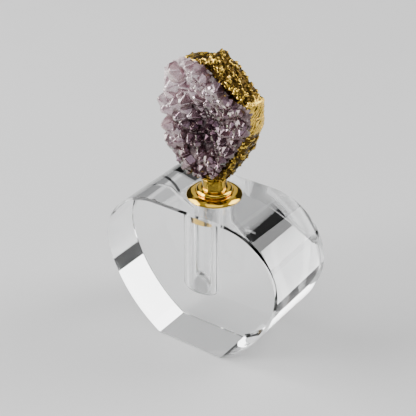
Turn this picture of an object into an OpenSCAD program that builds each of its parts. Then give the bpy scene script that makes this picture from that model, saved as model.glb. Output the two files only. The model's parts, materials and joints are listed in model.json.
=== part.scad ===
// Perfume bottle: a clear crystal slab with a drilled reservoir, and a stopper with a gilded amethyst.
// Millimetres, +Z up, origin at the centre of the foot, broad faces along X, front towards -Y.

/* [Crystal block] */
// Width over the bowed sides
body_w = 100; // [90:1:120]
// Height from the foot to the flat top
body_h = 77; // [72:1:80]
// Thickness from front to back
body_d = 44; // [38:1:56]
// Radius of the round shoulders
shoulder_r = 30; // [28:1:34]
// How far the centre of the bowed side lies inboard of the shoulder's centre
side_in = 38.5; // [34:0.5:42]
// How far the centre of the bowed side lies above the shoulder's centre
side_up = 13.2; // [11:0.1:15]
// Polished chamfer on every edge of the broad faces
edge_chamfer = 1; // [0.5:0.1:2]

/* [Reservoir] */
// Diameter of the drilled bore
bore_d = 19.6; // [18:0.2:22]
// Thickness of crystal left below the bore
bore_floor = 28; // [20:1:40]
// Radius in the bottom corner of the bore
bore_corner_r = 2.5; // [1:0.5:4]

/* [Ferrule] */
// Diameter over the flange
rim_d = 27; // [26:0.2:29]
// Radius of the flange's domed top
dome_r = 5; // [4.5:0.1:6]
// Diameter of the hole that takes the plug
mouth_d = 14.6; // [13.6:0.2:15.2]
// How far the sleeve reaches down the bore
sleeve_l = 9; // [7:0.5:10]

/* [Stopper] */
// Diameter over the half-round bead
bead_d = 17.8; // [16.8:0.2:18.4]
// Diameter of the neck under the stone
neck_d = 12; // [11:0.2:13]
// Height of the neck's flat top above the block
neck_top = 11; // [9.5:0.5:13]
// Diameter of the threaded stud
stud_d = 4; // [3:1:4]

/* [Stone] */
// Height of the stone's middle above the neck's flat top
stone_up = 31; // [28:0.5:31]
// Number of quartz points in the druse
point_count = 100; // [60:4:120]
// Height of the tallest nuggets above the rock's skin
nugget_h = 1.8; // [0.4:0.1:2]

/* [Hidden] */
$fn = 96;

// Clearances: bonded pieces, running fits, and the parting line under the bead
bond_gap = 0.1;
run_gap = 0.08;
seat_gap = 0.15;
far = 200;

// Crystal outline: the side arc meets the shoulder arc near the line through both centres.
// The arcs overrun by a hair, so they cross at two degrees and cut a clean edge.
overrun = 0.02;
shoulder_c = [body_w / 2 - shoulder_r - overrun, body_h - shoulder_r];
side_c = shoulder_c + [-side_in, side_up];
side_r = shoulder_r + norm([side_in, side_up]);
blend = [side_in, -side_up];

// Ferrule: the flange has a short plain edge, a domed top, and a recess that the bead drops into
dome_h = 2.15;
rim_edge = 0.7;
seat_h = 1.2;
lip_gap = 0.25;
mouth_r = mouth_d / 2;
sleeve_r = bore_d / 2 - bond_gap;
sleeve_z = body_h - sleeve_l;
seat_z = body_h + seat_h;
seat_r = bead_d / 2 + lip_gap;
dome_z = body_h + dome_h - dome_r;
dome_c = [rim_d / 2 - sqrt(pow(dome_r, 2) - pow(body_h + rim_edge - dome_z, 2)), dome_z];

// Stopper turning: bead, neck with a lip, and the spigot inside the plug
bead_r = 1.45;
bead_z = seat_z + seat_gap;
lip_r = 0.5;
neck_z = body_h + neck_top;
spigot_r = 4.2;
spigot_l = 7.2;
spigot_z = bead_z - spigot_l;

// Stud, washer and nut
washer_h = 0.9;
washer_r = 3.8;
nut_h = 2.2;
nut_af = 7;
nut_z = spigot_z - washer_h - nut_h;
stud_end = 0.2;
stud_z = nut_z - stud_end;
stud_in_rock = 14;
stud_top = neck_z + stud_in_rock;
stud_hole_d = stud_d + 2 * bond_gap;

// Plug: a cup over the spigot, with a rib on each side of the ring's groove
plug_floor = 1.2;
plug_play = 0.4;
plug_r = mouth_r - plug_play;
plug_z = nut_z - plug_play - plug_floor;
plug_h = bead_z - seat_gap - plug_z;
rib_r = mouth_r - run_gap;
rib_h = 0.8;
rib_away = 3;
ring_r = 0.9;
ring_c = rib_r - ring_r;
ring_z = plug_z + plug_h / 2;

// Height of the stone's middle above the foot
stone_z = neck_z + stone_up;
// Rock outline seen from the front, about its middle: up from the right-hand corner and round
rock_outline = [
    [24.5, 14], [20, 17.3], [13.8, 22.5], [7.5, 29.6], [1.5, 33.2], [-5, 29.5], [-14, 27.5], [-22, 20],
    [-23.5, 6], [-22.5, -7], [-22.5, -18], [-6.5, -32], [6.5, -32], [13, -24], [20, -12.5], [24.5, 0]
];
rock_r = 27;
rock_steps = 96;
nugget_w = 3.2;
// Rock section from the hollow in front to the back.
// Each point: share of the outline, depth, share of the nuggets' height.
rock_section = [
    [0.25, -3.5, 0.1], [0.9, -6.5, 0.2], [0.98, -5.5, 0.8], [1, -2.5, 1], [1, 2.5, 1], [0.96, 5.5, 1],
    [0.85, 8.3, 1], [0.75, 9.6, 1], [0.62, 10.6, 1], [0.48, 11.2, 1], [0.34, 11.6, 0.9], [0.2, 11.9, 0.6],
    [0.08, 12, 0.2]
];
rock_rings = 37;
rock_front = -3.3;
rock_back = 12.1;
// The broken facet at the right-hand corner is smooth
facet_x = 23.5;
facet_share = 0.1;
// Outline of the druse on the rock's front, in the same order
druse_outline = [
    [24, 12], [13.5, 15], [6.5, 20], [0.5, 26], [-6, 28.5], [-15.5, 28], [-24, 20.5], [-24.5, 6],
    [-23, -6], [-25, -17], [-16.5, -26], [-4, -29.5], [7, -25], [13, -16.5], [18.5, -8], [23.5, 1]
];
// Crust that carries the points, in the same way on the druse's outline
crust_section = [
    [0.3, -5.2, 0.1], [0.55, -6, 0.1], [0.72, -7.4, 0.1], [0.94, -7.6, 0.1], [1, -6.2, 0.1], [1, -4.2, 0]
];
crust_steps = 48;
crust_front = -5;
crust_back = -4.2;
// Spread of the points: turn from one to the next, reach of the outermost, depth of their roots
golden_angle = 137.508;
spread_jitter = 30;
point_reach = 0.88;
big_side = 150;
lean_jitter = 30;
root_y = 4.4;
root_dish = 2.6;
root_in = 2;
// Size of a point: in the middle, what the rim and the large side add, and how much it varies
point_r = 2;
rim_r_gain = 1.4;
big_r_gain = 1.9;
r_spread = 0.4;
point_h = 2;
big_h_gain = 1.6;
h_spread = 1.2;
lean_mid = 4;
lean_rim = 24;
// Tip of a point as shares of its radius
tip_share = 0.6;
tip_spread = 0.35;
tip_sway = 0.6;
tip_end = 0.1;

// Even but irregular spread of values from 0 to 1
function scatter(i, k) = let (v = sin(i * 127.1 + k * 311.7) * 4375.85) v - floor(v);

// Nuggets in space, each about a point of its own in a grid of cubes.
// Half a unit high in the middle, low in the creases.
function nugget(p) =
    let (
        q = p / nugget_w,
        b = [for (v = q) floor(v)],
        near = [for (x = [-1 : 1], y = [-1 : 1], z = [-1 : 1]) b + [x, y, z]]
    )
    0.5 - min([
        for (c = near)
            let (k = c * [1, 57, 131])
            norm(c + [scatter(k, 1), scatter(k, 2), scatter(k, 3)] - q)
    ]);

// Point of a closed outline at a share of the way round it
function along(outline, share) =
    let (
        n = len(outline),
        k = floor(share * n),
        t = share * n - k
    )
    outline[k % n] * (1 - t) + outline[(k + 1) % n] * t;

// Point of an open section at a share of the way from its first point to its last
function between(section, share) =
    let (
        n = len(section) - 1,
        k = min(floor(share * n), n - 1),
        t = share * n - k
    )
    section[k] * (1 - t) + section[k + 1] * t;

// Turned profile about the bore's axis
module turned() { rotate_extrude() children(); }

// Disc lying along Y, with both rims sloping in past the broad faces
module rimmed_disc(r, c) {
    h = body_d / 2 - edge_chamfer;
    k = 3 * edge_chamfer;
    translate([c[0], 0, c[1]])
        rotate([90, 0, 0])
            rotate_extrude()
                polygon([[0, -h - k], [r - k, -h - k], [r, -h], [r, h], [r - k, h + k], [0, h + k]]);
}

// Everything between the foot and the flat top, chamfered along the broad faces
module block_layer() {
    h = body_d / 2;
    k = edge_chamfer;
    rotate([90, 0, 90])
        linear_extrude(2 * far, center = true)
            polygon([
                [k - h, 0], [h - k, 0], [h, k], [h, body_h - k],
                [h - k, body_h], [k - h, body_h], [-h, body_h - k], [-h, k]
            ]);
}

// Flat top, round shoulders, and open flanks below the line where the side arcs take over
module block_shoulders() {
    right = [shoulder_c, shoulder_c + 3 * blend, [shoulder_c[0] + 3 * side_in, -far]];
    left = [for (i = [2 : -1 : 0]) [-right[i][0], right[i][1]]];
    top = [[-shoulder_c[0], far], [shoulder_c[0], far]];
    rotate([90, 0, 0]) linear_extrude(2 * body_d, center = true) polygon(concat(right, left, top));
    for (s = [-1, 1]) rimmed_disc(shoulder_r + overrun, [s * shoulder_c[0], shoulder_c[1]]);
}

// Flat-bottomed bore with a rounded corner
module bore() {
    r = bore_d / 2;
    k = bore_corner_r;
    turned() {
        translate([0, bore_floor]) square([r - k, body_h]);
        translate([0, bore_floor + k]) square([r, body_h]);
        translate([r - k, bore_floor + k]) circle(k);
    }
}

module crystal_block() {
    color([0.9, 0.95, 0.98, 0.4])
        difference() {
            intersection() {
                block_layer();
                block_shoulders();
                rimmed_disc(side_r - overrun, side_c);
                rimmed_disc(side_r - overrun, [-side_c[0], side_c[1]]);
            }
            bore();
        }
}

// Domed flange, a recessed seat for the stopper's bead, and a sleeve bonded into the bore
module neck_ferrule() {
    color([0.86, 0.66, 0.22])
        turned()
            difference() {
                union() {
                    translate([mouth_r, sleeve_z]) square([sleeve_r - mouth_r, seat_z - sleeve_z]);
                    intersection() {
                        translate(dome_c) circle(dome_r);
                        translate([mouth_r, body_h]) square([rim_d / 2 - mouth_r, far]);
                    }
                }
                translate([0, seat_z]) square([seat_r, far]);
            }
}

// O-ring in the plug's groove
module seal_ring() {
    color([0.16, 0.16, 0.17]) turned() translate([ring_c, ring_z]) circle(ring_r);
}

// Half-round bead, neck with a lip under the stone, and the spigot inside the plug
module stopper_base() {
    neck_r = neck_d / 2;
    bead_c = bead_d / 2 - bead_r;
    hole_r = stud_hole_d / 2;
    color([0.86, 0.66, 0.22])
        turned() {
            translate([hole_r, bead_z]) square([bead_c - hole_r, 2 * bead_r]);
            translate([bead_c, bead_z + bead_r]) circle(bead_r);
            translate([hole_r, bead_z]) square([neck_r - hole_r, neck_z - bead_z]);
            translate([neck_r, neck_z - 2 * lip_r]) circle(lip_r);
            translate([hole_r, spigot_z]) square([spigot_r - hole_r, spigot_l + bead_r]);
        }
}

// Soft cup with two sealing ribs and a groove for the ring between them
module stopper_plug() {
    cup_r = spigot_r + bond_gap;
    color([0.94, 0.94, 0.92])
        turned()
            difference() {
                union() {
                    translate([0, plug_z]) square([plug_r, plug_h]);
                    for (s = [-1, 1])
                        translate([0, ring_z + s * rib_away - rib_h / 2]) square([rib_r, rib_h]);
                }
                translate([0, plug_z + plug_floor]) square([cup_r, plug_h]);
                translate([ring_c - ring_r - run_gap, ring_z - ring_r - run_gap])
                    square([far, 2 * (ring_r + run_gap)]);
            }
}

module stone_stud() {
    color([0.72, 0.6, 0.3])
        translate([0, 0, stud_z]) cylinder(h = stud_top - stud_z, d = stud_d);
}

module stud_washer() {
    color([0.75, 0.76, 0.78])
        translate([0, 0, nut_z + nut_h])
            difference() {
                cylinder(h = washer_h, r = washer_r);
                translate([0, 0, -washer_h]) cylinder(h = 3 * washer_h, d = stud_hole_d);
            }
}

module stud_nut() {
    color([0.75, 0.76, 0.78])
        translate([0, 0, nut_z])
            difference() {
                cylinder(h = nut_h, d = nut_af / cos(30), $fn = 6);
                translate([0, 0, -nut_h]) cylinder(h = 3 * nut_h, d = stud_hole_d);
            }
}

// Point of a lump's skin at step i round its outline and ring j of its section, lifted by its nugget
function skin_point(outline, section, steps, rings, i, j, height) =
    let (
        p = along(outline, i / steps),
        ring = between(section, j / (rings - 1)),
        next = between(section, min(1, (j + 1) / (rings - 1))),
        last = between(section, max(0, (j - 1) / (rings - 1))),
        slope = next - last,
        normal = [slope[1], -slope[0] * rock_r],
        start = [p[0] * ring[0], ring[1], p[1] * ring[0]],
        lift = 2 * nugget(start) * height * ring[2] / norm(normal),
        out = p / norm(p) * normal[0]
    )
    start + [out[0], normal[1], out[1]] * lift + [0, 0, stone_z];

// Closed skin from rings of points, between a point in front and a point behind
module skin(rings, front, back) {
    m = len(rings);
    n = len(rings[0]);
    points = [[0, front, stone_z], for (ring = rings) each ring, [0, back, stone_z]];
    faces = [
        for (i = [0 : n - 1]) let (k = (i + 1) % n) [0, 1 + k, 1 + i],
        for (j = [0 : m - 2]) for (i = [0 : n - 1])
            let (k = (i + 1) % n, p = 1 + j * n, q = p + n)
            each [[p + i, p + k, q + k], [p + i, q + k, q + i]],
        for (i = [0 : n - 1]) let (k = (i + 1) % n, p = 1 + (m - 1) * n) [p + i, p + k, m * n + 1]
    ];
    polyhedron(points, faces);
}

// How high the rock's nuggets are at step i
function rock_grain(i) = nugget_h * (along(rock_outline, i / rock_steps)[0] > facet_x ? facet_share : 1);

module rock() {
    rings = [
        for (j = [0 : rock_rings - 1]) [
            for (i = [0 : rock_steps - 1])
                skin_point(rock_outline, rock_section, rock_steps, rock_rings, i, j, rock_grain(i))
        ]
    ];
    skin(rings, rock_front, rock_back);
}

module crust() {
    m = len(crust_section);
    rings = [
        for (j = [0 : m - 1]) [
            for (i = [0 : crust_steps - 1])
                skin_point(druse_outline, crust_section, crust_steps, m, i, j, nugget_h)
        ]
    ];
    skin(rings, crust_front, crust_back);
}

// Space that the stopper's neck and the air above the block take from the stone
module neck_space() {
    translate([-far / 2, -far / 2, neck_z - far]) cube(far);
}

module gilded_matrix() {
    color([0.83, 0.6, 0.16])
        difference() {
            rock();
            neck_space();
            cylinder(h = stud_top + bond_gap, d = stud_hole_d);
        }
}

// One six-sided quartz point with a blunt, uneven tip, standing on the XY plane
module quartz_point(r, h, i) {
    sway = r * tip_sway;
    tip_h = r * (tip_share + tip_spread * scatter(i, 8));
    rotate([0, 0, 60 * scatter(i, 5)])
        hull() {
            cylinder(h = h, r = r, $fn = 6);
            translate([sway * (scatter(i, 6) - 0.5), sway * (scatter(i, 7) - 0.5), h + tip_h])
                cylinder(h = tip_end, r = tip_end * r, $fn = 6);
        }
}

// Quartz point i of the druse: spread evenly, largest at the upper left, leaning outwards at the rim
module druse_point(i) {
    share = (i * golden_angle + spread_jitter * (scatter(i, 4) - 0.5)) / 360;
    turn = share - floor(share);
    s = sqrt((i + 0.5) / point_count);
    rim = along(druse_outline, turn) * s * point_reach;
    big = s * (0.5 + 0.5 * cos(360 * turn - big_side));
    r = (point_r + rim_r_gain * s + big_r_gain * big) * (1 + r_spread * (scatter(i, 1) - 0.5));
    h = point_h + big_h_gain * big + h_spread * scatter(i, 3);
    lean = lean_mid + lean_rim * pow(s, 3) + lean_jitter * (scatter(i, 2) - 0.5);
    translate([rim[0], -root_y - root_dish * s * s, stone_z + rim[1]])
        rotate([0, -atan2(rim[1], rim[0]), 0])
            rotate([90 + lean_jitter * (scatter(i, 9) - 0.5), 0, 0])
                rotate([0, lean, 0])
                    translate([0, 0, -root_in]) quartz_point(r, h, i);
}

module amethyst_druzy() {
    color([0.68, 0.58, 0.72])
        difference() {
            union() {
                crust();
                for (i = [0 : point_count - 1]) druse_point(i);
            }
            rock();
            neck_space();
            translate([-far / 2, crust_back, 0]) cube(far);
        }
}

crystal_block();
neck_ferrule();
seal_ring();
stopper_base();
stopper_plug();
stone_stud();
stud_washer();
stud_nut();
gilded_matrix();
amethyst_druzy();
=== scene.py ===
"""Perfume bottle: polished crystal slab, gold-plated ferrule and a stopper with a gilded amethyst druse."""
import json
import math

import bpy
from mathutils import Matrix, Vector, noise

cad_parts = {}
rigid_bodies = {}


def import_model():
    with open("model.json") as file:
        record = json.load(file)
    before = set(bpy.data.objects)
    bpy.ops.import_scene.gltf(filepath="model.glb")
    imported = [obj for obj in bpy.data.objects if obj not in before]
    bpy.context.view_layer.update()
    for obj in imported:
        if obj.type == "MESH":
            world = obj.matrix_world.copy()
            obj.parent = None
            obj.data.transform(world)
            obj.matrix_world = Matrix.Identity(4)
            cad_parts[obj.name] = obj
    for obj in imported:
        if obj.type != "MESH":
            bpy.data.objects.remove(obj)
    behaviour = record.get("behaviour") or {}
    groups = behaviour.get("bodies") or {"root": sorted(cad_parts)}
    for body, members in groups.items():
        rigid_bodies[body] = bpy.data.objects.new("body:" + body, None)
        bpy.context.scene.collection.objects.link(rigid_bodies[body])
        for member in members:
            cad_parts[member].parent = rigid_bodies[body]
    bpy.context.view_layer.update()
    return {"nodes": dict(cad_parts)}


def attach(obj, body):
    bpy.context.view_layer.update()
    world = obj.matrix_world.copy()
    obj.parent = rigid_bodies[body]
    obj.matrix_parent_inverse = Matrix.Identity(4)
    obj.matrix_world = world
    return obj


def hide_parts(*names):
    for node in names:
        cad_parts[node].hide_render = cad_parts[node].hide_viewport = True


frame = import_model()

MM = 0.001

# Crystal block, in millimetres
BODY_W, BODY_H, BODY_D = 100.0, 77.0, 44.0
SHOULDER_R, SIDE_IN, SIDE_UP, EDGE_CHAMFER = 30.0, 38.5, 13.2, 1.0
BORE_R, BORE_FLOOR, BORE_CORNER_R, DRILL_OVER = 9.8, 28.0, 2.5, 5

# Ferrule and stopper turnings, in millimetres
MOUTH_R, SLEEVE_R, SLEEVE_Z, SEAT_Z, SEAT_R = 7.3, 9.7, 68.0, 78.2, 9.15
SEAT_CHAMFER, MOUTH_CHAMFER = 0.15, 0.3
RIM_R, DOME_R, DOME_TOP, EDGE_R, EDGE_TURN = 13.5, 5.0, 79.15, 0.65, 45
STUD_HOLE_R, SPIGOT_R, SPIGOT_Z = 2.1, 4.2, 71.15
BEAD_Z, BEAD_C, BEAD_R = 78.35, 7.45, 1.45
NECK_R, NECK_Z, LIP_R, COVE_R = 6.0, 88.0, 0.5, 0.6
# Heights over which painted shade darkens the neck under the stone
NECK_SHADE_Z = (81.0, 82.6)
PLUG_Z, PLUG_TOP, PLUG_R, PLUG_CUP_R, PLUG_FLOOR, PLUG_EDGE_R = 66.45, 78.15, 6.9, 4.3, 67.65, 0.5
RIB_R, RIB_H, RIB_Z = 7.22, 0.8, (68.9, 74.9)
RING_C, RING_R, RING_Z, GROOVE_R, GROOVE_H = 6.32, 0.9, 72.3, 5.34, 1.96

# Stone, in millimetres about its middle: x and z from the front, y from front to back
STONE_Z = 119.0
DRUSE_OUTLINE = [
    (24, 12), (13.5, 15), (6.5, 20), (0.5, 26), (-6, 28.5), (-15.5, 28), (-24, 20.5), (-24.5, 6),
    (-23, -6), (-25, -17), (-16.5, -26), (-4, -29.5), (7, -25), (13, -16.5), (18.5, -8), (23.5, 1),
]
CRUST_BACK = -4.2
CRUST_SECTION = [(1.0, -6.2), (0.94, -7.6), (0.72, -7.4), (0.55, -6.0), (0.3, -5.2)]
# Middle, radius and core share of the painted shade in the druse's hollow
SHADED_HOLLOW, SHADED_HOLLOW_R, SHADED_HOLLOW_CORE = (-1.7, -5.7), 16.0, 0.4
# Heights over which painted shade darkens the rock towards its foot
ROCK_SHADE_Z = (STONE_Z - 26, STONE_Z - 2)
# ROCK_RELIEF: millimetres of relief over which the rock's painted shade turns into painted highlight
ROCK_RELIEF, ROCK_VOXEL, CRUST_VOXEL = 0.8, 0.42, 0.4

# Smooth places of the rock: middle, radius, painted sheen, and height of the wrinkles
SMOOTH_PLACES = [((24.5, 1.0, 7.0), 10.0, 0.98, 0.48), ((-13.5, 4.0, 26.5), 9.0, 0.87, 0.05)]
SMOOTH_CORE, SMOOTH_FADE, LEAST_ROUGH = 0.75, 3, 0.15
WRINKLE_ACROSS, WRINKLE_GAP = (0.0, -0.65, 0.76), 1.7
DRIFT, DRIFT_SCALE, UNEVEN, UNEVEN_SCALE, UNEVEN_FROM = 0.9, 0.35, (0.6, 0.8), 0.5, 40

# Quartz points: their sets, how they are spread and rooted, and how much they vary
POINT_COUNT, FINE_COUNT, FOOT_COUNT = 100, 120, 26
POINT_REACH, ROOT_Y, ROOT_DISH, ROOT_IN = 0.88, 4.4, 2.6, 2.0
FOOT_START, FOOT_SPAN, FOOT_RIM, FOOT_STAGGER = 10.0, 2.4, 0.98, 0.16
GOLDEN_ANGLE, LARGEST_AT, LEAN, WOBBLE, SIXTH_TURN = 137.508, 150, 4, 30, 60
RADIUS_VARIES, HEIGHT_VARIES, TIP_VARIES, TIP_SWAY, TIP_SHARE = 0.4, 1.2, 0.35, 0.6, 0.2

# Masks of the druse: from its middle out, up from the roots, the ragged edge of its painted shade, and the
# painted shade over to the lower right
DRUSE_R, TIP_H, RAGGED = 26.0, 6.0, 18.0
PAINTED_SHADE_X, PAINTED_SHADE_Z, PAINTED_SHADE_FROM, PAINTED_SHADE_TO = -0.8, 0.5, 17.0, -1.0


# Modelling helpers

def deselect():
    if bpy.context.mode != "OBJECT":
        bpy.ops.object.mode_set(mode="OBJECT")
    bpy.ops.object.select_all(action="DESELECT")


def pick(obj):
    deselect()
    obj.select_set(True)
    bpy.context.view_layer.objects.active = obj


def edit(obj, action="SELECT"):
    pick(obj)
    bpy.ops.object.mode_set(mode="EDIT")
    bpy.ops.mesh.select_all(action=action)


def arc(centre, radius, start, end, steps):
    """Points on an arc, angles in degrees."""
    angles = [math.radians(start + (end - start) * i / steps) for i in range(steps + 1)]
    return [(centre[0] + radius * math.cos(a), centre[1] + radius * math.sin(a)) for a in angles]


def trace(name, points):
    """A chain of edges through the points, drawn by extruding one vertex. Leaves edit mode on."""
    deselect()
    bpy.ops.mesh.primitive_plane_add(size=MM)
    obj = bpy.context.object
    obj.name = obj.data.name = name
    bpy.ops.object.mode_set(mode="EDIT")
    bpy.ops.mesh.merge(type="CENTER")
    here = Vector((0, 0, 0))
    for i, p in enumerate(points):
        step = Vector(p) * MM - here
        here += step
        if i == 0:
            bpy.ops.transform.translate(value=step)
        else:
            bpy.ops.mesh.extrude_region_move(TRANSFORM_OT_translate={"value": step})
    return obj


def tidy_skin():
    bpy.ops.mesh.select_all(action="SELECT")
    bpy.ops.mesh.remove_doubles(threshold=0.002 * MM)
    bpy.ops.mesh.normals_make_consistent(inside=False)
    bpy.ops.object.mode_set(mode="OBJECT")


def select_faces(obj, test):
    """Edit mode with only the faces selected that pass the test."""
    edit(obj, "DESELECT")
    bpy.ops.mesh.select_mode(type="FACE")
    bpy.ops.object.mode_set(mode="OBJECT")
    for face in obj.data.polygons:
        face.select = test(face)
    bpy.ops.object.mode_set(mode="EDIT")


def turned(name, profile, steps=144):
    """A turning: the profile, as radius and height, spun about Z."""
    obj = trace(name, [(r, 0, z) for r, z in profile])
    bpy.ops.mesh.select_all(action="SELECT")
    bpy.ops.mesh.spin(steps=steps, angle=2 * math.pi, center=(0, 0, 0), axis=(0, 0, 1))
    tidy_skin()
    return obj


def smooth(obj, degrees=32):
    pick(obj)
    bpy.ops.object.shade_smooth_by_angle(angle=math.radians(degrees))


def apply_modifier(obj, kind, **settings):
    pick(obj)
    mod = obj.modifiers.new(kind.lower(), kind)
    for key, value in settings.items():
        setattr(mod, key, value)
    bpy.ops.object.modifier_apply(modifier=mod.name)


def copy_node(node, name):
    """A merged copy of a CAD node's mesh, as a new object."""
    obj = bpy.data.objects.new(name, frame["nodes"][node].data.copy())
    obj.data.name = name
    bpy.context.scene.collection.objects.link(obj)
    obj.data.materials.clear()
    edit(obj)
    bpy.ops.mesh.remove_doubles(threshold=0.001 * MM)
    bpy.ops.object.mode_set(mode="OBJECT")
    return obj


def scatter(i, k):
    """Even but irregular spread of values from 0 to 1."""
    v = math.sin(math.radians(i * 127.1 + k * 311.7)) * 4375.85
    return v - math.floor(v)


def varied(i, k):
    """The same about zero, from minus one half to one half."""
    return scatter(i, k) - 0.5


# Materials

def new_material(name):
    mat = bpy.data.materials.new(name)
    mat.use_nodes = True
    return mat, mat.node_tree.nodes, mat.node_tree.links, mat.node_tree.nodes["Principled BSDF"]


def grain_group():
    """Speckle and cloud masks on Object coordinates, shared by the metals and the stone."""
    tree = bpy.data.node_groups.new("surface_grain", "ShaderNodeTree")
    for name, value in (("Cloud Scale", 200.0), ("Speckle Scale", 1500.0)):
        socket = tree.interface.new_socket(name=name, in_out="INPUT", socket_type="NodeSocketFloat")
        socket.default_value = value
    for name in ("Cloud", "Speckle"):
        tree.interface.new_socket(name=name, in_out="OUTPUT", socket_type="NodeSocketFloat")
    nodes, links = tree.nodes, tree.links
    into, out = nodes.new("NodeGroupInput"), nodes.new("NodeGroupOutput")
    place = nodes.new("ShaderNodeTexCoord")
    for name in ("Cloud", "Speckle"):
        mottle = nodes.new("ShaderNodeTexNoise")
        mottle.inputs["Detail"].default_value = 5.0
        links.new(place.outputs["Object"], mottle.inputs["Vector"])
        links.new(into.outputs[name + " Scale"], mottle.inputs["Scale"])
        links.new(mottle.outputs["Fac"], out.inputs[name])
    return tree


GRAIN = grain_group()


def add_grain(nodes, cloud, speckle):
    grain = nodes.new("ShaderNodeGroup")
    grain.node_tree = GRAIN
    grain.inputs["Cloud Scale"].default_value = cloud
    grain.inputs["Speckle Scale"].default_value = speckle
    return grain


def ramp(nodes, links, source, stops):
    """A colour ramp of (position, colour) stops, fed by a socket."""
    node = nodes.new("ShaderNodeValToRGB")
    elements = node.color_ramp.elements
    while len(elements) < len(stops):
        elements.new(0.5)
    for element, (position, colour) in zip(elements, stops):
        element.position = position
        element.color = (*colour, 1.0)
    links.new(source, node.inputs["Fac"])
    return node.outputs["Color"]


def to_range(nodes, links, source, low, high, start=0.0, end=1.0):
    """A socket's values from start to end, turned into values from low to high."""
    node = nodes.new("ShaderNodeMapRange")
    for name, value in (("From Min", start), ("From Max", end), ("To Min", low), ("To Max", high)):
        node.inputs[name].default_value = value
    links.new(source, node.inputs["Value"])
    return node.outputs["Result"]


def place_axes(nodes, links):
    """The Object coordinates, axis by axis."""
    place, axes = nodes.new("ShaderNodeTexCoord"), nodes.new("ShaderNodeSeparateXYZ")
    links.new(place.outputs["Object"], axes.inputs["Vector"])
    return axes.outputs


def bump(nodes, links, bsdf, source, strength, distance):
    node = nodes.new("ShaderNodeBump")
    node.inputs["Strength"].default_value = strength
    node.inputs["Distance"].default_value = distance * MM
    links.new(source, node.inputs["Height"])
    links.new(node.outputs["Normal"], bsdf.inputs["Normal"])


def mixed(nodes, links, kind, factor, a, b):
    """Two colours mixed, by a socket or a number."""
    node = nodes.new("ShaderNodeMix")
    node.data_type, node.blend_type = "RGBA", kind
    for name, value in (("Factor", factor), ("A", a), ("B", b)):
        if isinstance(value, (int, float)):
            node.inputs[name].default_value = value
        elif isinstance(value, tuple):
            node.inputs[name].default_value = (*value, 1.0)
        else:
            links.new(value, node.inputs[name])
    return node.outputs["Result"]


def crystal_material():
    mat, nodes, links, bsdf = new_material("polished_crystal")
    bsdf.inputs["Transmission Weight"].default_value = 1.0
    bsdf.inputs["IOR"].default_value = 1.52
    bsdf.inputs["Roughness"].default_value = 0.0
    grain = add_grain(nodes, 60.0, 900.0)
    tint = ramp(
        nodes, links, grain.outputs["Cloud"],
        [(0.3, (0.98, 0.988, 0.992)), (0.7, (0.99, 0.995, 0.996))])
    links.new(tint, bsdf.inputs["Base Color"])
    return mat


def gold_material():
    """Polished gold plate, with painted shade darkening the neck under the stone."""
    mat, nodes, links, bsdf = new_material("gold_plate")
    bsdf.inputs["Metallic"].default_value = 1.0
    grain = add_grain(nodes, 260.0, 4000.0)
    colour = ramp(
        nodes, links, grain.outputs["Cloud"],
        [(0.3, (0.81, 0.50, 0.045)), (0.7, (0.87, 0.56, 0.075))])
    # Painted shade: the neck under the stone is darkened
    start, end = (z * MM for z in NECK_SHADE_Z)
    painted_neck_shade = to_range(nodes, links, place_axes(nodes, links)["Z"], 1.0, 0.4, start, end)
    links.new(mixed(nodes, links, "MULTIPLY", 1.0, colour, painted_neck_shade), bsdf.inputs["Base Color"])
    links.new(to_range(nodes, links, grain.outputs["Cloud"], 0.03, 0.10), bsdf.inputs["Roughness"])
    bump(nodes, links, bsdf, grain.outputs["Speckle"], 0.02, 0.05)
    return mat


def attribute(nodes, name):
    node = nodes.new("ShaderNodeAttribute")
    node.attribute_name = name
    return node.outputs["Fac"]


def rock_material():
    """Gold plate over rough rock, with painted shade in the crevices, painted highlights on the ridges, a
    painted sheen on the smooth places, and painted shade towards the foot.
    """
    mat, nodes, links, bsdf = new_material("gilded_rock")
    bsdf.inputs["Metallic"].default_value = 1.0
    grain = add_grain(nodes, 180.0, 1400.0)
    # Painted shade in the crevices, painted highlights on the ridges and painted sheen on the smooth places
    colour = ramp(
        nodes, links, attribute(nodes, "relief_shade_and_highlight"),
        [(0.28, (0.056, 0.033, 0.007)), (0.78, (0.105, 0.062, 0.012)), (1.0, (0.80, 0.525, 0.085))])
    # Painted shade, darker towards the foot
    start, end = (z * MM for z in ROCK_SHADE_Z)
    foot = to_range(nodes, links, place_axes(nodes, links)["Z"], 0.35, 1.0, start, end)
    links.new(mixed(nodes, links, "MULTIPLY", 1.0, colour, foot), bsdf.inputs["Base Color"])
    links.new(to_range(nodes, links, grain.outputs["Speckle"], 0.10, 0.38), bsdf.inputs["Roughness"])
    bump(nodes, links, bsdf, grain.outputs["Speckle"], 0.35, 0.4)
    return mat


def calc(nodes, links, operation, *values):
    """A math node on sockets and numbers."""
    node = nodes.new("ShaderNodeMath")
    node.operation = operation
    for socket, value in zip(node.inputs, values):
        if isinstance(value, (int, float)):
            socket.default_value = value
        else:
            links.new(value, socket)
    return node.outputs["Value"]


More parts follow.
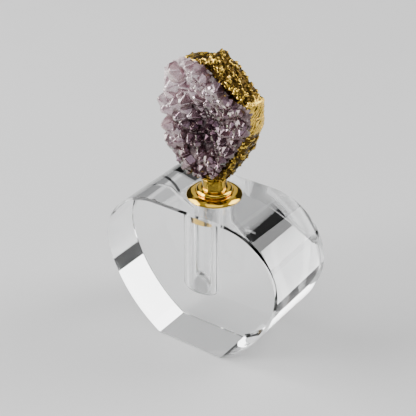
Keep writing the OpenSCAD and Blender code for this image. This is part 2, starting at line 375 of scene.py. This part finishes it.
def druse_group():
    """Where a point of the druse lies, on Object coordinates: in its hollow, up from the roots to the tips,
    and over from the upper left to the lower right. The hollow and the lower right are where shade is
    painted."""
    tree = bpy.data.node_groups.new("druse_place", "ShaderNodeTree")
    for name in ("Hollow Shade", "Height", "Shade"):
        tree.interface.new_socket(name=name, in_out="OUTPUT", socket_type="NodeSocketFloat")
    nodes, links = tree.nodes, tree.links
    out, axes = nodes.new("NodeGroupOutput"), place_axes(nodes, links)
    cloud = add_grain(nodes, 180.0, 1000.0).outputs["Cloud"]

    def maths(operation, *values):
        return calc(nodes, links, operation, *values)

    def away(x, z):
        """Distance from a place on the druse's front, in metres."""
        side = maths("SUBTRACT", axes["X"], x * MM)
        up = maths("SUBTRACT", axes["Z"], (STONE_Z + z) * MM)
        return maths("SQRT", maths("ADD", maths("MULTIPLY", side, side), maths("MULTIPLY", up, up)))

    def give(name, source, start, end):
        """Feeds an output that goes from 0 to 1 while the source goes from start to end."""
        links.new(to_range(nodes, links, source, 0.0, 1.0, start * MM, end * MM), out.inputs[name])

    ragged = maths("MULTIPLY", maths("SUBTRACT", cloud, 0.5), RAGGED * MM)
    # Painted shade in the druse's hollow, with a ragged edge
    give("Hollow Shade", maths("ADD", away(*SHADED_HOLLOW), ragged), SHADED_HOLLOW_R, SHADED_HOLLOW_R * SHADED_HOLLOW_CORE)
    share = maths("DIVIDE", away(0, 0), DRUSE_R * MM)
    root = maths("MULTIPLY_ADD", maths("MULTIPLY", share, share), -ROOT_DISH * MM, -ROOT_Y * MM)
    give("Height", maths("SUBTRACT", root, axes["Y"]), 0.0, TIP_H)
    # Painted shade over from the upper left to the lower right
    up = maths("MULTIPLY", maths("SUBTRACT", axes["Z"], STONE_Z * MM), PAINTED_SHADE_Z)
    over = maths("MULTIPLY_ADD", axes["X"], PAINTED_SHADE_X, up)
    give("Shade", maths("ADD", over, ragged), PAINTED_SHADE_FROM, PAINTED_SHADE_TO)
    return tree


DRUSE_PLACE = druse_group()


def druse_place(nodes):
    node = nodes.new("ShaderNodeGroup")
    node.node_tree = DRUSE_PLACE
    return node


def shaded(nodes, links, place, colour, smoky, hollow_shade_tint):
    """A colour of the druse, with painted shade over to the lower right and in the hollow."""
    colour = mixed(nodes, links, "MULTIPLY", place.outputs["Shade"], colour, smoky)
    return mixed(nodes, links, "MIX", place.outputs["Hollow Shade"], colour, hollow_shade_tint)


def amethyst_material():
    """Clear, lilac, rosy and smoky quartz by crystal, veiled, darker towards the roots, with painted shade
    over to the lower right and in the hollow, and a bright coat that fades where that shade is painted."""
    mat, nodes, links, bsdf = new_material("amethyst")
    bsdf.inputs["Transmission Weight"].default_value = 0.6
    bsdf.inputs["IOR"].default_value = 1.55
    bsdf.inputs["Coat IOR"].default_value = 2.7
    bsdf.inputs["Thin Film IOR"].default_value = 1.68
    bsdf.inputs["Thin Film Thickness"].default_value = 480.0
    grain, place = add_grain(nodes, 420.0, 900.0), druse_place(nodes)
    tone = ramp(
        nodes, links, attribute(nodes, "tone"),
        [(0.0, (0.99, 0.86, 0.87)), (0.4, (0.87, 0.62, 0.68)), (0.7, (0.98, 0.71, 0.71)),
         (1.0, (0.63, 0.44, 0.47))])
    veil = ramp(
        nodes, links, grain.outputs["Cloud"],
        [(0.36, (0.48, 0.33, 0.38)), (0.5, (0.90, 0.86, 0.88)), (0.62, (1.0, 1.0, 1.0))])
    depth = ramp(
        nodes, links, place.outputs["Height"],
        [(0.1, (0.55, 0.42, 0.48)), (0.5, (0.93, 0.90, 0.92)), (0.85, (1.0, 1.0, 1.0))])
    colour = mixed(nodes, links, "MULTIPLY", 1.0, mixed(nodes, links, "MULTIPLY", 1.0, tone, veil), depth)
    # Painted shade: darker over to the lower right and in the hollow
    colour = shaded(nodes, links, place, colour, smoky=(0.21, 0.155, 0.162), hollow_shade_tint=(0.075, 0.037, 0.049))
    links.new(colour, bsdf.inputs["Base Color"])
    # The coat fades where shade is painted, over to the lower right and in the hollow
    dull = calc(nodes, links, "MULTIPLY", place.outputs["Shade"], 0.78)
    dull = calc(nodes, links, "MAXIMUM", place.outputs["Hollow Shade"], dull)
    links.new(to_range(nodes, links, dull, 1.0, 0.0), bsdf.inputs["Coat Weight"])
    links.new(to_range(nodes, links, grain.outputs["Cloud"], 0.0, 0.08), bsdf.inputs["Roughness"])
    bump(nodes, links, bsdf, grain.outputs["Speckle"], 0.06, 0.2)
    return mat


def crust_material():
    mat, nodes, links, bsdf = new_material("quartz_crust")
    grain = add_grain(nodes, 220.0, 900.0)
    colour = ramp(
        nodes, links, grain.outputs["Cloud"],
        [(0.35, (0.42, 0.32, 0.34)), (0.65, (0.80, 0.71, 0.71))])
    # Painted shade over to the lower right and in the hollow, as on the points
    colour = shaded(
        nodes, links, druse_place(nodes), colour, smoky=(0.33, 0.27, 0.27), hollow_shade_tint=(0.05, 0.03, 0.035))
    links.new(colour, bsdf.inputs["Base Color"])
    links.new(to_range(nodes, links, grain.outputs["Speckle"], 0.08, 0.4), bsdf.inputs["Roughness"])
    bump(nodes, links, bsdf, grain.outputs["Speckle"], 0.6, 0.6)
    return mat


def plain_material(name, low, high, metallic, rough, grain_scale):
    """Plain metal, plastic or rubber with a fine mottle between two colours."""
    mat, nodes, links, bsdf = new_material(name)
    bsdf.inputs["Metallic"].default_value = metallic
    grain = add_grain(nodes, grain_scale, grain_scale * 8)
    colour = ramp(nodes, links, grain.outputs["Cloud"], [(0.3, low), (0.7, high)])
    links.new(colour, bsdf.inputs["Base Color"])
    uneven = to_range(nodes, links, grain.outputs["Speckle"], rough * 0.8, rough * 1.2)
    links.new(uneven, bsdf.inputs["Roughness"])
    bump(nodes, links, bsdf, grain.outputs["Speckle"], 0.05, 0.05)
    return mat


# Pieces

def finish_piece(obj, mat, body, slot, *nodes):
    """Gives a piece its material and its body, and hides the CAD nodes that it stands for. The slot is not
    used.
    """
    obj.data.materials.clear()
    obj.data.materials.append(mat)
    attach(obj, body)
    if nodes:
        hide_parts(*nodes)


def block_outline(steps):
    """Outline of the block seen from the front, from the right end of the foot over the top to the left."""
    shoulder_c = (BODY_W / 2 - SHOULDER_R, BODY_H - SHOULDER_R)
    side_c = (shoulder_c[0] - SIDE_IN, shoulder_c[1] + SIDE_UP)
    side_r = SHOULDER_R + math.hypot(SIDE_IN, SIDE_UP)
    blend = -math.degrees(math.atan2(SIDE_UP, SIDE_IN))
    foot = -math.degrees(math.asin(side_c[1] / side_r))
    right = arc(side_c, side_r, foot, blend, steps) + arc(shoulder_c, SHOULDER_R, blend, 90, steps)[1:]
    left = [(-x, z) for x, z in reversed(right)]
    return right + left


def crystal_block():
    wall_y = BODY_D / 2 - EDGE_CHAMFER
    obj = trace("crystal_slab", [(x, -wall_y, z) for x, z in block_outline(72)])
    bpy.ops.mesh.select_all(action="SELECT")
    bpy.ops.mesh.edge_face_add()
    bpy.ops.mesh.extrude_region_move(TRANSFORM_OT_translate={"value": (0, 2 * wall_y * MM, 0)})
    tidy_skin()
    select_faces(obj, lambda face: abs(face.normal.y) > 0.99)
    bpy.ops.mesh.inset(thickness=EDGE_CHAMFER * MM, depth=EDGE_CHAMFER * MM)
    bpy.ops.mesh.select_mode(type="VERT")
    tidy_skin()
    profile = [(0, BORE_FLOOR)]
    profile += arc((BORE_R - BORE_CORNER_R, BORE_FLOOR + BORE_CORNER_R), BORE_CORNER_R, -90, 0, 14)
    profile += [(BORE_R, BODY_H + DRILL_OVER), (0, BODY_H + DRILL_OVER)]
    drill = turned("bore_drill", profile, 160)
    apply_modifier(obj, "BOOLEAN", object=drill, operation="DIFFERENCE", solver="EXACT")
    bpy.data.objects.remove(drill)
    smooth(obj, 24)
    apply_modifier(obj, "WEIGHTED_NORMAL", keep_sharp=True)
    return obj


def neck_ferrule():
    reach = (DOME_R - EDGE_R) * math.cos(math.radians(EDGE_TURN))
    edge_c = (RIM_R - EDGE_R, DOME_TOP - DOME_R + reach)
    dome_c = (edge_c[0] - reach, DOME_TOP - DOME_R)
    edge_low = math.degrees(math.asin((BODY_H - edge_c[1]) / EDGE_R))
    profile = [(MOUTH_R, SLEEVE_Z), (SLEEVE_R, SLEEVE_Z), (SLEEVE_R, BODY_H)]
    profile += arc(edge_c, EDGE_R, edge_low, EDGE_TURN, 12)
    profile += arc(dome_c, DOME_R, EDGE_TURN, 90, 20)[1:]
    profile += [(SEAT_R + SEAT_CHAMFER, DOME_TOP), (SEAT_R, DOME_TOP - SEAT_CHAMFER), (SEAT_R, SEAT_Z)]
    profile += [(MOUTH_R + MOUTH_CHAMFER, SEAT_Z), (MOUTH_R, SEAT_Z - MOUTH_CHAMFER), (MOUTH_R, SLEEVE_Z)]
    obj = turned("ferrule_ring", profile)
    smooth(obj)
    return obj


def stopper_base():
    profile = [(STUD_HOLE_R, SPIGOT_Z), (SPIGOT_R, SPIGOT_Z), (SPIGOT_R, BEAD_Z)]
    profile += arc((BEAD_C, BEAD_Z + BEAD_R), BEAD_R, -90, 90, 32)
    bead_top = BEAD_Z + 2 * BEAD_R
    profile += arc((NECK_R + COVE_R, bead_top + COVE_R), COVE_R, -90, -180, 10)
    profile += arc((NECK_R, NECK_Z - 2 * LIP_R), LIP_R, -90, 90, 16)
    profile += [(NECK_R, NECK_Z), (STUD_HOLE_R, NECK_Z), (STUD_HOLE_R, SPIGOT_Z)]
    obj = turned("stopper_turning", profile)
    smooth(obj)
    return obj


def stopper_plug():
    groove = [
        (PLUG_R, RING_Z - GROOVE_H / 2), (GROOVE_R, RING_Z - GROOVE_H / 2),
        (GROOVE_R, RING_Z + GROOVE_H / 2), (PLUG_R, RING_Z + GROOVE_H / 2),
    ]
    ribs = [
        [(PLUG_R, z), *arc((RIB_R - RIB_H / 4, z + RIB_H / 2), RIB_H / 4, -90, 90, 6), (PLUG_R, z + RIB_H)]
        for z in RIB_Z
    ]
    profile = [(0, PLUG_Z)]
    profile += arc((PLUG_R - PLUG_EDGE_R, PLUG_Z + PLUG_EDGE_R), PLUG_EDGE_R, -90, 0, 8)
    profile += ribs[0] + groove + ribs[1]
    profile += [(PLUG_R, PLUG_TOP), (PLUG_CUP_R, PLUG_TOP), (PLUG_CUP_R, PLUG_FLOOR), (0, PLUG_FLOOR)]
    obj = turned("plug_cup", profile, 96)
    smooth(obj)
    return obj


def seal_ring():
    obj = turned("o_ring", arc((RING_C, RING_Z), RING_R, 0, 360, 24), 120)
    smooth(obj, 60)
    return obj


def about_stone(point):
    """A point of a stone piece, in millimetres about the stone's middle."""
    return Vector(point) / MM - Vector((0, 0, STONE_Z))


def rough_share(place):
    """How rough the rock is at a place, with the painted sheen and the wrinkles of the smooth place nearest
    to it.
    """
    away, painted_sheen, ridges = min(
        ((place - Vector(middle)).length / radius, painted_sheen, ridges)
        for middle, radius, painted_sheen, ridges in SMOOTH_PLACES)
    return min(1.0, max(LEAST_ROUGH, (away - SMOOTH_CORE) * SMOOTH_FADE)), painted_sheen, ridges


def wrinkle(obj):
    """Uneven ridges side by side across the smooth places of the rock."""
    across = Vector(WRINKLE_ACROSS)
    normals = [vert.normal.copy() for vert in obj.data.vertices]
    for vert, normal in zip(obj.data.vertices, normals):
        place = about_stone(vert.co)
        rough, _, height = rough_share(place)
        if rough < 1.0:
            drift = DRIFT * noise.noise(place * DRIFT_SCALE)
            ridge = math.sin(2 * math.pi * (across.dot(place) / WRINKLE_GAP + drift))
            uneven = UNEVEN[0] + UNEVEN[1] * noise.noise(place * UNEVEN_SCALE + across * UNEVEN_FROM)
            vert.co += normal * (height * (1 - rough) * ridge * uneven * MM)


def relief_texture(name, kind, size, **settings):
    texture = bpy.data.textures.new(name, kind)
    texture.noise_scale = size * MM
    for key, value in settings.items():
        setattr(texture, key, value)
    return texture


def keep_relief(obj):
    """How far each vertex stands out of the calmed skin, as an attribute about one half, or about the
    painted sheen on a smooth place. The rock's colour turns it into painted shade in the crevices and
    painted highlights on the ridges."""
    pick(obj)
    bpy.ops.object.duplicate()
    calm = bpy.context.object
    apply_modifier(calm, "SMOOTH", factor=0.5, iterations=90)
    relief_shade_and_highlight = obj.data.attributes.new("relief_shade_and_highlight", "FLOAT", "POINT")
    for vert, still, item in zip(obj.data.vertices, calm.data.vertices, relief_shade_and_highlight.data):
        rough, painted_sheen, _ = rough_share(about_stone(vert.co))
        stands = (vert.co - still.co).dot(still.normal)
        # Painted shade and highlight: low in the crevices, high on the ridges, about the painted sheen on
        # smooth places
        item.value = painted_sheen + (0.5 - painted_sheen) * rough + stands / (ROCK_RELIEF * MM)
    bpy.data.meshes.remove(calm.data)


def gilded_rock():
    """The rock with finer nuggets and pits on the ones it has, and its relief kept as an attribute for its
    painted shade and highlights.
    """
    obj = copy_node("gilded_matrix", "gilded_stone")
    apply_modifier(obj, "REMESH", mode="VOXEL", voxel_size=ROCK_VOXEL * MM)
    group = obj.vertex_groups.new(name="rough")
    for vert in obj.data.vertices:
        group.add([vert.index], rough_share(about_stone(vert.co))[0], "REPLACE")
    apply_modifier(obj, "SMOOTH", factor=0.5, iterations=40, vertex_group="rough", invert_vertex_group=True)
    nuggets = {"distance_metric": "MANHATTAN", "weight_1": -1.0, "weight_2": 1.0}
    for texture, strength, on_smooth in (
        (relief_texture("nuggets", "VORONOI", 2.0, **nuggets), 1.1, False),
        (relief_texture("pits", "VORONOI", 1.0, distance_metric="MANHATTAN"), 0.5, False),
        (relief_texture("crumples", "CLOUDS", 1.3), 0.5, True),
    ):
        apply_modifier(obj, "DISPLACE", texture=texture, strength=strength * MM, mid_level=0.5,
                       texture_coords="LOCAL", vertex_group="rough", invert_vertex_group=on_smooth)
    wrinkle(obj)
    keep_relief(obj)
    pick(obj)
    bpy.ops.object.shade_smooth()
    return obj


def along(outline, share):
    """Point of an outline at a share of the way round it."""
    n = len(outline)
    k = math.floor(share * n)
    a, b = outline[k % n], outline[(k + 1) % n]
    return tuple(u + (v - u) * (share * n - k) for u, v in zip(a, b))


def quartz_mesh(name, radius, height, tip_h, sway, bevel):
    """A quartz point: a prism whose upper end is drawn in to an uneven tip, with worn edges."""
    deselect()
    bpy.ops.mesh.primitive_cylinder_add(
        vertices=6, radius=radius * MM, depth=height * MM, location=(0, 0, height * MM / 2))
    obj = bpy.context.object
    obj.name = name
    bpy.ops.object.transform_apply(location=True)
    select_faces(obj, lambda face: face.normal.z > 0.9)
    bpy.ops.mesh.extrude_region_move(
        TRANSFORM_OT_translate={"value": (sway[0] * MM, sway[1] * MM, tip_h * MM)})
    bpy.ops.transform.resize(value=(TIP_SHARE, TIP_SHARE, TIP_SHARE))
    bpy.ops.mesh.select_mode(type="VERT")
    if bevel:
        bpy.ops.mesh.select_all(action="SELECT")
        bpy.ops.mesh.bevel(offset=bevel * MM, segments=1, affect="EDGES", clamp_overlap=True)
    bpy.ops.object.mode_set(mode="OBJECT")
    return obj


def spread(i, count):
    """Share of the way round and out to the rim for point i of the druse, by the golden angle."""
    return (i * GOLDEN_ANGLE + WOBBLE * varied(i, 4)) / 360 % 1, math.sqrt((i + 0.5) / count)


def along_foot(i, count):
    """The same for point i of a row along the foot of the druse."""
    turn = (FOOT_START + FOOT_SPAN * (i + 0.5) / count) / len(DRUSE_OUTLINE)
    return turn, FOOT_RIM + FOOT_STAGGER * scatter(i, 4)


def larger(turn, s):
    """How much larger the points are at a place: most at the upper left of the rim."""
    return s * (0.5 + 0.5 * math.cos(math.radians(360 * turn - LARGEST_AT)))


def druse_frame(i, turn, s, splay):
    """Place and turn of point i of the druse."""
    rim = Vector(along(DRUSE_OUTLINE, turn)) * s * POINT_REACH
    lean = LEAN + splay * s ** 3
    place = Matrix.Translation(Vector((rim.x, -ROOT_Y - ROOT_DISH * s * s, STONE_Z + rim.y)) * MM)
    spin = Matrix.Rotation(-math.atan2(rim.y, rim.x), 4, "Y")
    face = Matrix.Rotation(math.radians(90 + WOBBLE * varied(i, 9)), 4, "X")
    tilt = Matrix.Rotation(math.radians(lean + WOBBLE * varied(i, 2)), 4, "Y")
    return place @ spin @ face @ tilt


def joined(name, pieces):
    deselect()
    for obj in pieces:
        obj.select_set(True)
    bpy.context.view_layer.objects.active = pieces[0]
    bpy.ops.object.join()
    pieces[0].name = pieces[0].data.name = name
    return pieces[0]


def druse_point(i, spot, radius, height, blunt, wear, splay):
    """Point i of a set, grown to its radius and height at its spot on the druse, and rooted in the crust."""
    s, big = spot[1], larger(*spot)
    r = radius(s, big) * (1 + RADIUS_VARIES * varied(i, 1))
    h = height(s, big) + HEIGHT_VARIES * scatter(i, 3)
    sway = [r * TIP_SWAY * varied(i, k) for k in (6, 7)]
    tip_h = r * (blunt + TIP_VARIES * scatter(i, 8))
    obj = quartz_mesh(f"point_{i}", r, h, tip_h, sway, r * wear)
    roll = Matrix.Rotation(math.radians(SIXTH_TURN * scatter(i, 5)), 4, "Z")
    sink = Matrix.Translation((0, 0, -ROOT_IN * MM))
    obj.data.transform(druse_frame(i, *spot, splay) @ sink @ roll)
    tone = obj.data.attributes.new("tone", "FLOAT", "FACE")
    for item in tone.data:
        item.value = scatter(i, 11)
    return obj


def clear_voids(obj):
    """Deletes what a union leaves enclosed: all but the skin that reaches furthest forward."""
    edit(obj, "DESELECT")
    bpy.ops.mesh.select_mode(type="VERT")
    bpy.ops.object.mode_set(mode="OBJECT")
    min(obj.data.vertices, key=lambda vert: vert.co.y).select = True
    bpy.ops.object.mode_set(mode="EDIT")
    bpy.ops.mesh.select_linked()
    bpy.ops.mesh.select_all(action="INVERT")
    bpy.ops.mesh.delete(type="VERT")
    bpy.ops.object.mode_set(mode="OBJECT")


def amethyst_druse():
    """Large points all over, smaller ones between them away from the largest, and a row along the foot."""
    coarse = [
        druse_point(
            i, spread(i, POINT_COUNT),
            radius=lambda s, big: 2.0 + 1.4 * s + 1.9 * big,
            height=lambda s, big: 2.0 + 1.6 * big,
            blunt=0.55, wear=0.06, splay=18)
        for i in range(POINT_COUNT)
    ]
    fine = [
        druse_point(
            i, spread(i, FINE_COUNT),
            radius=lambda s, big: 2.0 + 0.5 * s,
            height=lambda s, big: 2.2 + 1.1 * s + 1.8 * big,
            blunt=0.6, wear=0, splay=8)
        for i in range(FINE_COUNT)
        if larger(*spread(i, FINE_COUNT)) < 0.3 + 0.6 * scatter(i, 12)
    ]
    foot = [
        druse_point(
            i, along_foot(i, FOOT_COUNT), radius=lambda s, big: 1.7, height=lambda s, big: 2.4,
            blunt=0.6, wear=0, splay=22)
        for i in range(FOOT_COUNT)
    ]
    obj = joined("amethyst_points", coarse + fine + foot)
    edit(obj)
    bpy.ops.mesh.intersect_boolean(operation="UNION", use_self=True, solver="EXACT")
    clear_voids(obj)
    bpy.ops.object.shade_flat()
    return obj


def amethyst_crust():
    """The thin crust of small quartz under the points, drawn forward from the druse's outline."""
    steps = 96
    rim = [along(DRUSE_OUTLINE, i / steps) for i in range(steps)]
    obj = trace("crust_of_quartz", [(x, CRUST_BACK, STONE_Z + z) for x, z in rim])
    bpy.ops.mesh.select_all(action="SELECT")
    bpy.ops.mesh.edge_face_add()
    share, depth = 1.0, CRUST_BACK
    for next_share, next_depth in CRUST_SECTION:
        forward = (0, (next_depth - depth) * MM, 0)
        bpy.ops.mesh.extrude_region_move(TRANSFORM_OT_translate={"value": forward})
        grow = next_share / share
        bpy.ops.transform.resize(value=(grow, 1, grow), center_override=(0, 0, STONE_Z * MM))
        share, depth = next_share, next_depth
    tidy_skin()
    apply_modifier(obj, "REMESH", mode="VOXEL", voxel_size=CRUST_VOXEL * MM)
    texture = relief_texture("small_quartz", "VORONOI", 1.6, distance_metric="MANHATTAN")
    apply_modifier(
        obj, "DISPLACE", texture=texture, strength=-1.0 * MM, mid_level=0.5, texture_coords="LOCAL")
    return obj


gold = gold_material()
steel = plain_material("zinc_steel", (0.50, 0.51, 0.53), (0.68, 0.69, 0.71), 1.0, 0.3, 400.0)
brass = plain_material("stud_brass", (0.60, 0.44, 0.18), (0.78, 0.60, 0.28), 1.0, 0.3, 400.0)
rubber = plain_material("seal_rubber", (0.02, 0.02, 0.02), (0.05, 0.05, 0.05), 0.0, 0.6, 500.0)
plastic = plain_material("plug_plastic", (0.80, 0.80, 0.77), (0.90, 0.90, 0.87), 0.0, 0.4, 300.0)

finish_piece(crystal_block(), crystal_material(), "bottle", "crystal", "crystal_block")
finish_piece(neck_ferrule(), gold, "bottle", "gold_plate", "neck_ferrule")
finish_piece(stopper_base(), gold, "stopper", "gold_plate", "stopper_base")
finish_piece(stopper_plug(), plastic, "stopper", "plug", "stopper_plug")
finish_piece(seal_ring(), rubber, "seal", "seal", "seal_ring")
finish_piece(gilded_rock(), rock_material(), "stopper", "gilded_rock", "gilded_matrix")
finish_piece(amethyst_druse(), amethyst_material(), "stopper", "amethyst", "amethyst_druzy")
finish_piece(amethyst_crust(), crust_material(), "stopper", "amethyst")
for node, mat in (("stone_stud", brass), ("stud_washer", steel), ("stud_nut", steel)):
    frame["nodes"][node].data.materials.clear()
    frame["nodes"][node].data.materials.append(mat)


# Floor, light and camera. Softboxes: name, place, aim, width and height in metres, and power in watts

MIDDLE = (0, 0, 0.30)
SOFTBOXES = [
    ("left_softbox", (-1.38, -0.60, 0.90), MIDDLE, 1.10, 1.80, 36.0),
    ("right_softbox", (1.04, 1.12, 1.04), MIDDLE, 1.10, 1.70, 34.0),
    ("back_softbox", (-0.98, 1.40, 1.10), MIDDLE, 1.20, 1.00, 2.4),
    ("top_softbox", (0.50, -0.70, 2.10), MIDDLE, 1.80, 1.80, 12.0),
    ("front_softbox", (-1.08, -1.36, 0.64), (0, 0, 0.14), 0.62, 0.62, 30.0),
]
FILL_STRENGTH, FILL_SPREAD = 0.7, 100
DIM, DIM_STRENGTH, BACKDROP = (0.95, 0.97, 1.0, 1.0), 0.05, (0.29, 0.29, 0.29, 1.0)
FLOOR_R, FLOOR_GAP = 3.0, 0.0002


def floor():
    deselect()
    bpy.ops.mesh.primitive_circle_add(
        vertices=96, radius=FLOOR_R, fill_type="NGON", location=(0, 0, -FLOOR_GAP))
    obj = bpy.context.object
    obj.name = "floor"
    bpy.ops.object.transform_apply(location=True)
    mat, nodes, links, bsdf = new_material("pale_floor")
    grain = add_grain(nodes, 3.0, 60.0)
    colour = ramp(
        nodes, links, grain.outputs["Cloud"], [(0.3, (0.74, 0.74, 0.74)), (0.7, (0.78, 0.78, 0.78))])
    links.new(colour, bsdf.inputs["Base Color"])
    bsdf.inputs["Roughness"].default_value = 0.5
    obj.data.materials.append(mat)


def softbox(name, place, target, width, height, power):
    light = bpy.data.lights.new(name, "AREA")
    light.shape = "RECTANGLE"
    light.size, light.size_y, light.energy = width, height, power
    obj = bpy.data.objects.new(name, light)
    bpy.context.scene.collection.objects.link(obj)
    obj.location = place
    obj.visible_camera = False
    obj.rotation_euler = (Vector(target) - Vector(place)).to_track_quat("-Z", "Y").to_euler()


def studio():
    """The softboxes, with an even fill from above that reaches the whole floor. The backdrop beyond the
    floor is pale, and lights nothing."""
    world = bpy.data.worlds.new("studio")
    world.use_nodes = True
    nodes, links = world.node_tree.nodes, world.node_tree.links
    dim, backdrop = nodes["Background"], nodes.new("ShaderNodeBackground")
    dim.inputs["Color"].default_value = DIM
    dim.inputs["Strength"].default_value = DIM_STRENGTH
    backdrop.inputs["Color"].default_value = BACKDROP
    seen, both = nodes.new("ShaderNodeLightPath"), nodes.new("ShaderNodeMixShader")
    links.new(seen.outputs["Is Camera Ray"], both.inputs["Fac"])
    links.new(dim.outputs["Background"], both.inputs[1])
    links.new(backdrop.outputs["Background"], both.inputs[2])
    links.new(both.outputs["Shader"], nodes["World Output"].inputs["Surface"])
    bpy.context.scene.world = world
    fill = bpy.data.lights.new("overhead_fill", "SUN")
    fill.energy, fill.angle = FILL_STRENGTH, math.radians(FILL_SPREAD)
    bpy.context.scene.collection.objects.link(bpy.data.objects.new("overhead_fill", fill))
    for box in SOFTBOXES:
        softbox(*box)


def photo_camera():
    """Camera at the photograph's angle, from a fit to the block's edges."""
    azimuth, elevation, distance = math.radians(35.0), math.radians(31.4), 0.610
    slide, height, focal_px, frame_px, sensor = -0.00306, 0.0692, 1265.1, 416, 36.0
    level = math.cos(elevation)
    back = Vector((math.sin(azimuth) * level, -math.cos(azimuth) * level, math.sin(elevation)))
    right = Vector((math.cos(azimuth), math.sin(azimuth), 0))
    data = bpy.data.cameras.new("photo_camera")
    data.sensor_width = sensor
    data.lens = focal_px / frame_px * sensor
    obj = bpy.data.objects.new("photo_camera", data)
    bpy.context.scene.collection.objects.link(obj)
    obj.location = Vector((0, 0, height)) + right * slide + back * distance
    obj.rotation_euler = (-back).to_track_quat("-Z", "Y").to_euler()
    bpy.context.scene.camera = obj


floor()
studio()
photo_camera()
